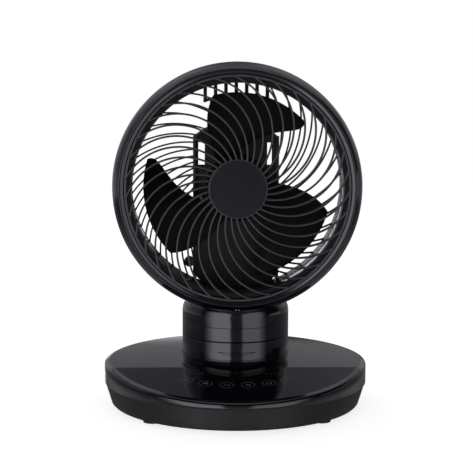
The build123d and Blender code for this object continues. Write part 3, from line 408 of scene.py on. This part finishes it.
# Smoked acrylic: darker and glossier than the shell, clear to the remote control's light.
smoked = finish("smoked_acrylic", "050405", "070607", 0.04, 4.0, 0.0005, patch=20.0, ior=1.49)
dress(smoked, "ir_window", edge=0.1)


# ---- head shell and duct ---------------------------------------------------------------------
# The drum behind the rim, a piano-black shell that narrows to the back, and inside it the
# barrel that guides the air, a little wider at the back. Both are turned shapes of one colour.

AXIS_HEIGHT = 210.6
# outlines of the head's pieces are (radius, distance forward of the head's datum plane)
DRUM_OUTSIDE = ((113.0, 44.0), (106.2, 14.0), (101.5, 4.0))
DRUM_INSIDE = ((100.0, 6.4), (103.8, 15.0), (110.4, 44.0))
REAR_BORE = 98.2              # the opening at the back,
THROAT = 94.0                 # and the barrel's bore at the front
BARREL_WALL = 1.6
BARREL_BACK = 6.4
FLANGE_RADIUS = 101.3
FLANGE = (68.1, 70.5)         # back and front

# the head is drawn face up: x to the right, y up the face, z forwards
HEAD = Matrix(((1, 0, 0, 0), (0, 0, -1, 0), (0, 1, 0, AXIS_HEIGHT * MM), (0, 0, 0, 1)))

drum_form = turned(*DRUM_OUTSIDE, (REAR_BORE, DRUM_OUTSIDE[-1][1]),
                   (REAR_BORE, DRUM_INSIDE[0][1]), *DRUM_INSIDE)
soften(drum_form, 0.5, turn=12)
drum = piece("head_drum", drum_form, piano_black, HEAD)
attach(drum, "head")
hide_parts("head_shell")

barrel_form = turned((REAR_BORE, BARREL_BACK), (REAR_BORE + BARREL_WALL, BARREL_BACK),
                     (THROAT + BARREL_WALL, FLANGE[0]), (FLANGE_RADIUS, FLANGE[0]),
                     (FLANGE_RADIUS, FLANGE[1]), (THROAT, FLANGE[1]), (THROAT, FLANGE[0]))
soften(barrel_form, 0.5)
barrel = piece("air_barrel", barrel_form, piano_black, HEAD)
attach(barrel, "head")
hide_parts("air_duct")


# ---- rear guard and spine --------------------------------------------------------------------
# The rear guard is one black polypropylene moulding; the spine that carries both motors stands
# in the middle of it and closes with a satin cover at the back.

# Polypropylene guard: plain black with a waxy low sheen, its mould left as machined.
guard_black = finish("black_polypropylene", "0a0a0c", "101012", 0.4, 0.8, 0.008, patch=14.0)

REAR_RIBS = 38
REAR_FRONT = 4.0              # the guard is this thick
REAR_RING = 101.0
REAR_END = 98.7               # ribs and bars end at this radius, in the ring
# points of a rib's centre line: (radius, degrees)
REAR_LINE = ((37.5, 2.0), (66.3, 30.9), (REAR_END, 53.2))
REAR_RIB_STEPS = 80           # a rib is cut off at one of these,
REAR_RIB_LEAST = 5            # and left out where it would have fewer points
# half of its section: (across, forward)
REAR_RIB_HALF = ((0.6, 0.0), (0.75, 0.5), (0.75, 3.6), (0.45, REAR_FRONT))
BAR_WIDTH = 3.4
BAR_SINK = 0.2                # the bars' faces lie this much below the guard's
BAR_PITCH = 9.72
# arched bars: inner radius, outer radius, degrees to either side of the top
BAR_ARCH = (81.6, 84.2, 21.9)       # the short bars stand on it
SPINE_ARCH = (56.5, 59.5, 43.5)     # this one runs over the top of the spine
ARCH_SINK = 0.1
RAIL_SIDE = 38.9              # two rails run along the spine,
RAIL_ENDS = (-90.5, 45.0)     # between these heights
REAR_BOSS = (44.0, -74.5, 4.9)      # to the side, up, radius


def swirl(*line):
    """The circle through three (radius, degrees) points: its centre, its first point as seen
    from the centre, and the turn from the first to the last."""
    first, middle, last = (cmath.rect(radius, math.radians(angle)) for radius, angle in line)
    slant = (last - first) / (middle - first)
    centre = first - (first - middle) * (slant - abs(slant) ** 2) / 2j / slant.imag
    return centre, first - centre, cmath.phase((last - centre) / (first - centre))


def add_rib(shape, centre, start, turn, section, steps=24):
    """Sweeps a closed section of (across, forward) points along a rib's arc."""
    way = start / abs(start)
    corners = [shape.verts.new((spot.real * MM, spot.imag * MM, forward * MM)) for spot, forward
               in ((centre + start + way * across, forward) for across, forward in section)]
    edges = [shape.edges.new(pair) for pair in zip(corners, corners[1:] + corners[:1])]
    bmesh.ops.spin(shape, geom=corners + edges, axis=(0, 0, 1), angle=turn, steps=steps,
                   cent=(centre.real * MM, centre.imag * MM, 0))
    shape.edges.ensure_lookup_table()
    bmesh.ops.holes_fill(shape, edges=[edge for edge in shape.edges if edge.is_boundary])


def add_bar(shape, x, low, high):
    """A straight upright bar of the rear guard, between two heights in millimetres."""
    low = Vector((x - BAR_WIDTH / 2, low, BAR_SINK)) * MM
    high = Vector((x + BAR_WIDTH / 2, high, REAR_FRONT - BAR_SINK)) * MM
    bmesh.ops.create_cube(shape, size=1.0, matrix=Matrix.Translation((low + high) / 2)
                          @ Matrix.Diagonal((*(high - low), 1)))


def open_air(spot):
    """Whether a spiral rib runs here: beside or above the spine, and below the short bars."""
    upper = spot.imag > 0
    at_spine = abs(spot.real) < RAIL_SIDE and not (upper and abs(spot) > sum(SPINE_ARCH[:2]) / 2)
    at_bars = upper and abs(spot.real) < 3 * BAR_PITCH and abs(spot) > BAR_ARCH[0]
    return not (at_spine or at_bars)


rear_ribs = bmesh.new()
centre, start, turn = swirl(*REAR_LINE)
rear_section = (*REAR_RIB_HALF, *((-across, forward) for across, forward in REAR_RIB_HALF[::-1]))
for k in range(REAR_RIBS):
    swing = cmath.rect(1, math.tau * k / REAR_RIBS)
    clear = [open_air((centre + start * cmath.rect(1, turn * i / REAR_RIB_STEPS)) * swing)
             for i in range(REAR_RIB_STEPS + 1)]
    runs = [list(run) for free, run in
            itertools.groupby(range(len(clear)), clear.__getitem__) if free]
    run = max(runs, key=len, default=[])
    if len(run) >= REAR_RIB_LEAST:
        begin = start * swing * cmath.rect(1, turn * run[0] / REAR_RIB_STEPS)
        add_rib(rear_ribs, centre * swing, begin, turn * (run[-1] - run[0]) / REAR_RIB_STEPS,
                rear_section)
bmesh.ops.recalc_face_normals(rear_ribs, faces=rear_ribs.faces)

bars = bmesh.new()
for k in range(-3, 4):
    x = k * BAR_PITCH
    add_bar(bars, x, math.sqrt(BAR_ARCH[0] ** 2 - x ** 2), math.sqrt(REAR_END ** 2 - x ** 2))
for x in (-RAIL_SIDE, RAIL_SIDE):
    add_bar(bars, x, *RAIL_ENDS)
for low, high, half in (BAR_ARCH, SPINE_ARCH):
    middle = cmath.rect((low + high) / 2, math.radians(90 - half))
    wide = (high - low) / 2
    back, front = ARCH_SINK, REAR_FRONT - ARCH_SINK
    add_rib(bars, 0j, middle, math.radians(2 * half),
            ((-wide, back), (wide, back), (wide, front), (-wide, front)))
boss_side, boss_rise, boss_radius = REAR_BOSS
for x in (-boss_side, boss_side):
    bmesh.ops.create_cone(bars, cap_ends=True, segments=40, radius1=boss_radius * MM,
                          radius2=boss_radius * MM, depth=REAR_FRONT * MM,
                          matrix=Matrix.Translation(Vector((x, boss_rise, REAR_FRONT / 2)) * MM))
bmesh.ops.recalc_face_normals(bars, faces=bars.faces)
add_part(bars, turned((REAR_BORE, 0), (REAR_RING, 0), (REAR_RING, REAR_FRONT),
                      (REAR_BORE, REAR_FRONT)))
soften(bars, 0.35)
add_part(rear_ribs, bars)
rear_guard = piece("rear_guard", rear_ribs, guard_black, HEAD, smooth=50)
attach(rear_guard, "head")
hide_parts("rear_grille")

# Spine: fine satin ABS that shows slate where light crosses it.
spine_abs = finish("fine_satin_ABS", "101014", "17171c", 0.33, 0.6, 0.005, shine=0.35)
dress(spine_abs, "spine_front", edge=0.5)
dress(satin_abs, "spine_cover", edge=0.3)


# ---- rotor -----------------------------------------------------------------------------------
# Hub and three broad swept blades in one semi-gloss black moulding, held on the motor's shaft
# by a plain nut. Each blade is a cambered sheet with a rounded edge.

BLADES = 3
BLADE_TIP = 85.8
BLADE_ROOT = 29.2             # inside the hub's wall
BLADE_THICKNESS = 2.0
BLADE_GRID = (28, 20)         # faces along the chord and from hub to tip
BLADE_BACK = 24.0             # where the pitched surface starts,
BLADE_CLIMB = 27.0            # and how far forward it climbs
BLADE_CAMBER = 4.0
BLADE_ANGLES = (20.0, 130.0)  # between these angles
# the blade's edges: (share of the way from hub to tip, degrees)
LEADING_EDGE = ((0.0, 90), (0.26, 70), (0.6, 51.5), (0.86, 42.5), (1.0, 43.5))
TRAILING_EDGE = ((0.0, 130), (0.31, 122), (0.72, 113), (1.0, 105))
HUB_RADIUS = 30.3
HUB_WALL = 2.2
HUB_ENDS = (21.0, 56.0)       # back and front
HUB_BOSS = (8.0, 23.0)        # radius, back end
HUB_BORE = 3.1


def through(points, x):
    """The smooth curve through a few points, read at x."""
    return sum(y * math.prod((x - other) / (here - other) for other, _ in points
                             if other != here) for here, y in points)


# Semi-gloss ABS: darker than the shells, with a soft bright line along every blade's edge.
blade_abs = finish("semi_gloss_ABS", "030304", "060608", 0.4, 1.0, 0.004, patch=25.0,
                   shine=0.07)

blade_form = bmesh.new()
bmesh.ops.create_grid(blade_form, x_segments=BLADE_GRID[0], y_segments=BLADE_GRID[1], size=0.5)
for vert in blade_form.verts:
    chord, share = vert.co.x + 0.5, vert.co.y + 0.5
    lead, trail = through(LEADING_EDGE, share), through(TRAILING_EDGE, share)
    angle = math.radians(lead + (trail - lead) * chord)
    radius = HUB_RADIUS + share * (BLADE_TIP - HUB_RADIUS) if share > 0.01 else BLADE_ROOT
    climb = (math.degrees(angle) - BLADE_ANGLES[0]) / (BLADE_ANGLES[1] - BLADE_ANGLES[0])
    height = BLADE_BACK + BLADE_CLIMB * climb + BLADE_CAMBER * math.sin(math.pi * climb)
    vert.co = Vector((radius * math.cos(angle), radius * math.sin(angle), height)) * MM
bmesh.ops.recalc_face_normals(blade_form, faces=blade_form.faces)
bmesh.ops.solidify(blade_form, geom=blade_form.faces[:], thickness=BLADE_THICKNESS * MM)
bmesh.ops.recalc_face_normals(blade_form, faces=blade_form.faces)
soften(blade_form, 0.7, turn=50, segments=3)
bmesh.ops.spin(blade_form, geom=blade_form.verts[:] + blade_form.edges[:]
               + blade_form.faces[:], cent=(0, 0, 0), axis=(0, 0, 1),
               angle=math.tau * (BLADES - 1) / BLADES, steps=BLADES - 1, use_duplicate=True)
hub_back, hub_front = HUB_ENDS
hub_form = turned((HUB_RADIUS, hub_back), (HUB_RADIUS, hub_front), (HUB_BORE, hub_front),
                  (HUB_BORE, HUB_BOSS[1]), HUB_BOSS, (HUB_BOSS[0], hub_front - HUB_WALL),
                  (HUB_RADIUS - HUB_WALL, hub_front - HUB_WALL),
                  (HUB_RADIUS - HUB_WALL, hub_back), steps=128)
soften(hub_form, 1.0, segments=3)
add_part(blade_form, hub_form)
blades = piece("rotor_blades", blade_form, blade_abs, HEAD)
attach(blades, "rotor")
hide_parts("fan_blade")

dress(filled_nylon, "blade_nut", edge=0.2)


# ---- rim -------------------------------------------------------------------------------------
# The piano-black ring round the guard: a rounded outer band, a fine step, a narrow flat face
# and an edge that falls back to the drum. It clips over the guard's ring.

RIM_ROUND = (89.34, 57.0, 23.66)    # centre's radius and height, and the band's own radius
RIM_TURN = 44.6               # degrees of that curve
RIM_STEPS = 14
RIM_FACE = ((104.5, 73.6), (104.5, 73.2), (102.1, 73.0), (102.1, 68.6))    # step, face, edge
RIM_INSIDE = ((110.4, 55.0), (110.4, 44.0), (113.0, 44.0))
DOT_RADIUS = 0.7
DOT_HEIGHT = 0.3              # as a share of the radius
DOT_SIDE = 1.3                # from the middle
DOT_TURN = 30.0               # degrees round the band's curve

band = [(RIM_ROUND[0] + RIM_ROUND[2] * math.cos(math.radians(RIM_TURN * k / RIM_STEPS)),
         RIM_ROUND[1] + RIM_ROUND[2] * math.sin(math.radians(RIM_TURN * k / RIM_STEPS)))
        for k in range(RIM_STEPS + 1)]
rim_form = turned(*band, *RIM_FACE, *RIM_INSIDE)
soften(rim_form, 0.18)
rim_ring = piece("rim_ring", rim_form, piano_black, HEAD)
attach(rim_ring, "head")
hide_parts("bezel_ring")

dress(piano_black, "grille_lock", edge=0.4)

# Two small near-white dots at the bottom of the rim, by the latch: a painted glint that stands in
# for the latch's highlights.
painted_glint = finish("painted_glint", "dcdde0", "e8e9ec", 0.4, 0.3, 0.004, patch=1.0)
dot_turn = math.radians(DOT_TURN)
dots = bmesh.new()
for x in (-DOT_SIDE, DOT_SIDE):
    spot = Vector((x, -RIM_ROUND[0] - RIM_ROUND[2] * math.cos(dot_turn),
                   RIM_ROUND[1] + RIM_ROUND[2] * math.sin(dot_turn)))
    bmesh.ops.create_uvsphere(dots, u_segments=20, v_segments=10, radius=DOT_RADIUS * MM,
                              matrix=Matrix.Translation(spot * MM)
                              @ Matrix.Rotation(math.pi / 2 + dot_turn, 4, "X")
                              @ Matrix.Diagonal((1, 1, DOT_HEIGHT, 1)))
latch_dots = piece("latch_dots", dots, painted_glint, HEAD)
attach(latch_dots, "head")


# ---- front guard -----------------------------------------------------------------------------
# One satin black moulding: an outer ring, thirty-five ribs that sweep outwards like a whirl and
# the disc that carries the cap. The ribs' front edges are rounded and the backs drafted.

RIBS = 35
RIB_FRONT = 75.0
RIB_BACK = 70.5
# points of a rib's centre line: (radius, degrees)
RIB_LINE = ((24.8, -0.5), (62.5, 19.9), (100.2, 51.3))
# half of its section: (across, forward)
RIB_HALF = ((0.72, RIB_BACK), (0.85, 71.2), (0.85, 74.2), (0.66, 74.72), (0.32, RIB_FRONT))
RIB_STEPS = 26
GUARD_RING = (99.1, 101.3)
GUARD_DISC = 26.4             # it carries the cap

# Satin grille plastic: an even sheen that makes each rib read as a light grey line.
grille_satin = finish("satin_grille_ABS", "2e2e30", "363637", 0.38, 0.7, 0.005, patch=20.0)

rib_section = (*RIB_HALF, *((-across, forward) for across, forward in RIB_HALF[::-1]))
guard_form = bmesh.new()
add_rib(guard_form, *swirl(*RIB_LINE), rib_section, steps=RIB_STEPS)
bmesh.ops.recalc_face_normals(guard_form, faces=guard_form.faces)
bmesh.ops.spin(guard_form, geom=guard_form.verts[:] + guard_form.edges[:]
               + guard_form.faces[:], cent=(0, 0, 0), axis=(0, 0, 1),
               angle=math.tau * (RIBS - 1) / RIBS, steps=RIBS - 1, use_duplicate=True)
for inner, outer in (GUARD_RING, (0, GUARD_DISC)):
    solid = turned((inner, RIB_BACK), (outer, RIB_BACK), (outer, RIB_FRONT), (inner, RIB_FRONT))
    soften(solid, 0.5)
    add_part(guard_form, solid)
guard = piece("whirl_guard", guard_form, grille_satin, HEAD, smooth=50)
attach(guard, "head")
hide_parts("front_grille")


# ---- cap -------------------------------------------------------------------------------------
# A plain disc pressed onto the middle of the guard, moulded with a coarse matte texture and a
# small undercut that leaves a dark line round it.

CAP_RADIUS = 25.4
CAP_FRONT = 77.6
CAP_UNDERCUT = (0.5, 75.4, 75.7)    # in from the edge; the heights between which it opens out

# Coarse-textured ABS: fully matte grey-black; the grain is drawn at 0.9 mm so that it shows.
cap_matte = finish("coarse_textured_ABS", "141418", "1b1b20", 0.62, 0.9, 0.03, patch=12.0,
                   shine=0.2)
cap_foot = CAP_RADIUS - CAP_UNDERCUT[0]
cap_form = turned((0, RIB_FRONT), (cap_foot, RIB_FRONT), (cap_foot, CAP_UNDERCUT[1]),
                  (CAP_RADIUS, CAP_UNDERCUT[2]), (CAP_RADIUS, CAP_FRONT), (0, CAP_FRONT))
soften(cap_form, 0.35, segments=3)
cap = piece("cap_disc", cap_form, cap_matte, HEAD)
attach(cap, "head")
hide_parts("grille_cap")


# ---- studio ----------------------------------------------------------------------------------
# A pale floor and a soft studio round the fan: two tall softboxes left and right of the camera
# with a dark gap between them, grey walls, a low white card behind and a ceiling light. Where
# the picture has no object the camera sees plain white; reflections see the studio.

FLOOR_HALF = 3.0              # metres
GLOW = 0.8                    # lifts the floor to the background's white, short of its shadow
STUDIO_TINT = (0.98, 0.975, 1.04, 1.0)    # linear, a little cool

floor_form = bmesh.new()
bmesh.ops.create_grid(floor_form, x_segments=1, y_segments=1, size=FLOOR_HALF)
pale = bpy.data.materials.new("pale_floor")
pale.use_nodes = True
tree = pale.node_tree
seen = node(tree, "ShaderNodeLightPath").outputs["Is Camera Ray"]
paper = node(tree, "ShaderNodeBsdfDiffuse", {"Color": linear("c4c4c4")})
dark_paper = node(tree, "ShaderNodeBsdfDiffuse", {"Color": linear("6e6e6e")})
glow = node(tree, "ShaderNodeEmission", {"Color": linear("ffffff"), "Strength": GLOW})
lit = node(tree, "ShaderNodeAddShader", {0: paper.outputs[0], 1: glow.outputs[0]})
shown = node(tree, "ShaderNodeMixShader", {0: seen, 1: dark_paper.outputs[0],
                                           2: lit.outputs[0]})
tree.links.new(shown.outputs[0], tree.nodes["Material Output"].inputs["Surface"])
floor = piece("floor", floor_form, pale)
floor.visible_glossy = False

world = bpy.data.worlds.new("studio")
bpy.context.scene.world = world
world.use_nodes = True
tree = world.node_tree
ways = node(tree, "ShaderNodeSeparateXYZ", {
    0: node(tree, "ShaderNodeTexCoord").outputs["Generated"]}).outputs
towards = node(tree, "ShaderNodeMath", {0: ways["Y"], 1: -1.0}, operation="MULTIPLY")
side = node(tree, "ShaderNodeMath", {0: ways["X"], 1: towards.outputs[0]},
            operation="ARCTAN2").outputs[0]       # 0 towards the camera, positive to the right
rise = node(tree, "ShaderNodeMath", {0: ways["Z"]}, operation="ARCSINE").outputs[0]


def glowing(angle, low, high, low_blur, high_blur):
    """1 between two angles and 0 outside them, in degrees, each end blurred by its own."""
    ends = [node(tree, "ShaderNodeMapRange", {
        "Value": angle, "From Min": math.radians(end - blur),
        "From Max": math.radians(end + blur)}, interpolation_type="SMOOTHSTEP").outputs[0]
        for end, blur in ((low, low_blur), (high, -high_blur))]
    return node(tree, "ShaderNodeMath", {0: ends[0], 1: ends[1]},
                operation="MULTIPLY").outputs[0]


behind = node(tree, "ShaderNodeMath", {0: side}, operation="ABSOLUTE").outputs[0]
total = None
for angle, turns, rises, strength in (
        (side, (-58, -12, 16, 3), (-60, 22, 5, 5), 2.7),        # left softbox
        (side, (14, 58, 4, 13), (-60, 22, 5, 5), 1.7),          # right softbox
        (side, (-14, 14, 4, 4), (-60, 22, 5, 5), 0.2),          # dark gap round the camera
        (side, (76, 112, 6, 6), (-8, 3, 2, 2), 0.6),            # strip light, far right
        (side, (-165, -80, 12, 12), (-8, 60, 3, 10), 0.32),     # pale wall to the left
        (side, (-165, -80, 12, 12), (-8, 3, 3, 4), 0.2),
        (side, (-165, -80, 12, 12), (28, 60, 6, 10), 0.2),
        (side, (112, 165, 12, 12), (-8, 60, 3, 10), 0.25),      # pale wall to the right
        (side, (112, 165, 12, 12), (28, 60, 6, 10), 0.2),
        (side, (-185, -168, 2, 3), (-30, 6.2, 1, 1), 0.95),     # white card behind
        (behind, (120, 200, 15, 15), (6.2, 20, 1, 1), 0.23),    # grey above it
        (behind, (120, 200, 15, 15), (20, 45, 5, 5), 0.15),     # dim wall above that
        (behind, (90, 200, 20, 20), (45, 66, 8, 8), 0.45),
        (behind, (-10, 200, 5, 5), (66, 100, 8, 8), 0.9),       # ceiling light
        (behind, (60, 200, 5, 5), (-24, -6, 3, 3), 0.12),       # the room's floor
        (behind, (-10, 200, 5, 5), (-95, -24, 6, 6), 0.28),
        (behind, (-10, 200, 5, 5), (-95, 95, 2, 2), 0.02)):     # what the room gives back
    lamp = node(tree, "ShaderNodeMath", {0: glowing(angle, *turns), 1: glowing(rise, *rises)},
                operation="MULTIPLY")
    bright = node(tree, "ShaderNodeMath", {0: lamp.outputs[0], 1: strength},
                  operation="MULTIPLY").outputs[0]
    total = bright if total is None else node(tree, "ShaderNodeMath", {0: total, 1: bright},
                                              operation="ADD").outputs[0]
paths = node(tree, "ShaderNodeLightPath").outputs
straight = node(tree, "ShaderNodeMath", {0: paths["Is Camera Ray"],
                                         1: paths["Is Transmission Ray"]}, operation="MAXIMUM")
white = node(tree, "ShaderNodeBackground", {"Color": linear("ffffff")})
studio = node(tree, "ShaderNodeBackground", {"Color": STUDIO_TINT, "Strength": total})
sky = node(tree, "ShaderNodeMixShader", {0: straight.outputs[0], 1: studio.outputs[0],
                                         2: white.outputs[0]})
tree.links.new(sky.outputs[0], tree.nodes["World Output"].inputs["Surface"])


# ---- camera ----------------------------------------------------------------------------------
# Fitted to the photograph: 1.2 m from the column's axis, a little below the top of the head and
# a degree and a half to the left of the middle.

LENS = 96.2                   # millimetres
LENS_SHIFT = 0.0005
CAMERA_REACH = 1.195          # metres from the column's axis, on the floor
CAMERA_HEIGHT = 0.2974
CAMERA_SIDE = -1.5            # degrees about that axis
CAMERA_DIP = 6.57             # degrees below level
CAMERA_ROLL = -0.24

camera_data = bpy.data.cameras.new("camera")
camera_data.lens = LENS
camera_data.shift_x = LENS_SHIFT
camera = bpy.data.objects.new("camera", camera_data)
bpy.context.collection.objects.link(camera)
camera_side = math.radians(CAMERA_SIDE)
camera.location = (CAMERA_REACH * math.sin(camera_side), -CAMERA_REACH * math.cos(camera_side),
                   CAMERA_HEIGHT)
camera.rotation_euler = (math.radians(90 - CAMERA_DIP), math.radians(CAMERA_ROLL), camera_side)
bpy.context.scene.camera = camera
bpy.context.scene.view_settings.view_transform = "Standard"
